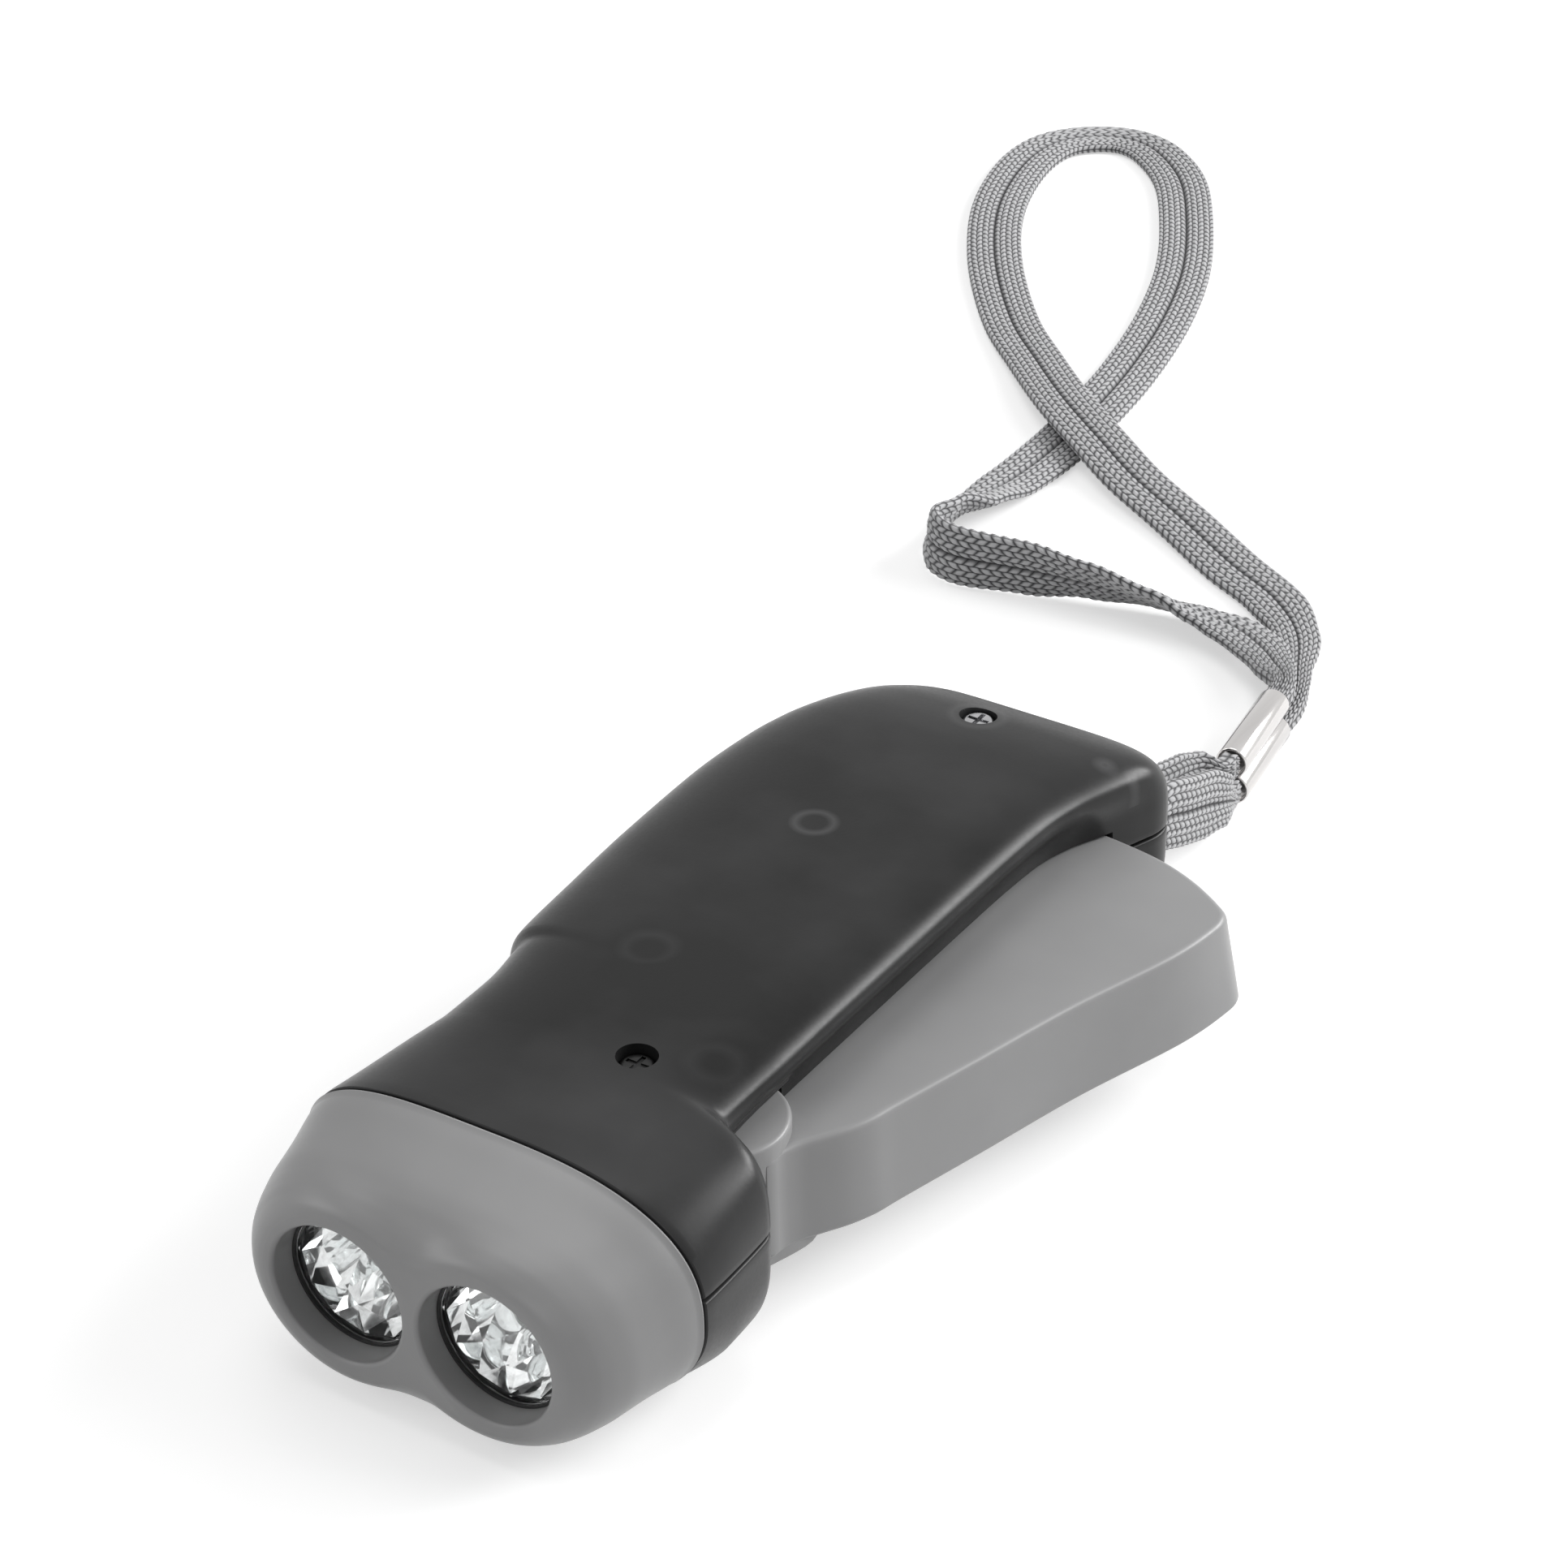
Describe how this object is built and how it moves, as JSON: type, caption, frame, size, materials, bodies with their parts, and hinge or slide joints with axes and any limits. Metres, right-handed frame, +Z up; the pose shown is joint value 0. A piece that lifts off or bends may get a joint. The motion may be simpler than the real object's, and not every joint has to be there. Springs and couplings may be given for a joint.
{
  "type": "hand crank flashlight",
  "caption": "Palm-sized squeeze-lever dynamo torch with two lamps in a waisted front bezel, a geared generator inside and a braided wrist strap with a metal ferrule.",
  "frame": {"origin": "on the flat of the underside, midway along the torch between the lamp rim and the rear end", "axes": "+Z up through the top shell, -Y along the beam, +X towards the squeeze lever"},
  "size_m": [0.1294, 0.2875, 0.025],
  "materials": {
    "shell": "polished, smoky",
    "gray_plastic": "satin",
    "lens": "clear",
    "reflector": "bright",
    "lamp": "clear",
    "board": "satin",
    "chip": "satin",
    "gear_plastic": "satin",
    "steel": "brushed",
    "cell": "bright",
    "dark_steel": "dull",
    "magnet": "sintered",
    "copper": "enamelled",
    "ferrule": "polished",
    "strap": "woven braid"
  },
  "bodies": {
    "case": {"top_shell": "shell", "bottom_shell": "shell", "front_bezel": "gray_plastic", "lens_left": "lens", "reflector_left": "reflector", "led_left": "lamp", "lens_right": "lens", "reflector_right": "reflector", "led_right": "lamp", "led_board": "board", "rectifier": "chip", "lever_pin": "steel", "axle_first": "steel", "axle_idler": "steel", "axle_rotor": "steel", "stator_core": "dark_steel", "stator_coil": "copper", "button_cell_1": "cell", "button_cell_2": "cell", "button_cell_3": "cell", "cell_contact_lower": "steel", "cell_contact_upper": "steel", "lanyard_pin": "steel", "strap_ferrule": "ferrule", "shell_screw_front": "steel", "shell_screw_rear": "steel", "strap_neck": "strap", "wrist_strap": "strap"},
    "lever": {"squeeze_lever": "gray_plastic", "sector_gear": "gear_plastic", "lever_spring": "steel"},
    "first_shaft": {"first_pinion": "gear_plastic", "first_gear": "gear_plastic"},
    "idler_shaft": {"idler_pinion": "gear_plastic", "idler_gear": "gear_plastic"},
    "rotor": {"rotor_pinion": "gear_plastic", "flywheel": "dark_steel", "rotor_magnet": "magnet"},
    "switch": {"switch_slider": "gray_plastic"}
  },
  "joints": [
    {"name": "lever_hinge", "type": "hinge", "parent": "case", "child": "lever", "pos_m": [0.0105, -0.021, 0.0125], "axis": [0, 0, 1], "range_deg": [0, 17], "stiffness_Nm_per_rad": 0.4, "springref_deg": -20.05},
    {"name": "first_spin", "type": "hinge", "parent": "case", "child": "first_shaft", "pos_m": [-0.00427, -0.00921, 0.0125], "axis": [0, 0, 1], "range_deg": [-73, 1]},
    {"name": "idler_spin", "type": "hinge", "parent": "case", "child": "idler_shaft", "pos_m": [-0.00624, 0.00516, 0.0125], "axis": [0, 0, 1], "range_deg": [-1, 228]},
    {"name": "rotor_spin", "type": "hinge", "parent": "case", "child": "rotor", "pos_m": [-0.0029, 0.0172, 0.0125], "axis": [0, 0, 1], "continuous": true},
    {"name": "switch_slide", "type": "slide", "parent": "case", "child": "switch", "axis": [0, 1, 0], "range_m": [0, 0.003]}
  ],
  "couplings": [
    {"joint": "first_spin", "follows": "lever_hinge", "ratio": -4.25},
    {"joint": "idler_spin", "follows": "lever_hinge", "ratio": 13.357},
    {"joint": "rotor_spin", "follows": "lever_hinge", "ratio": -42.298}
  ]
}
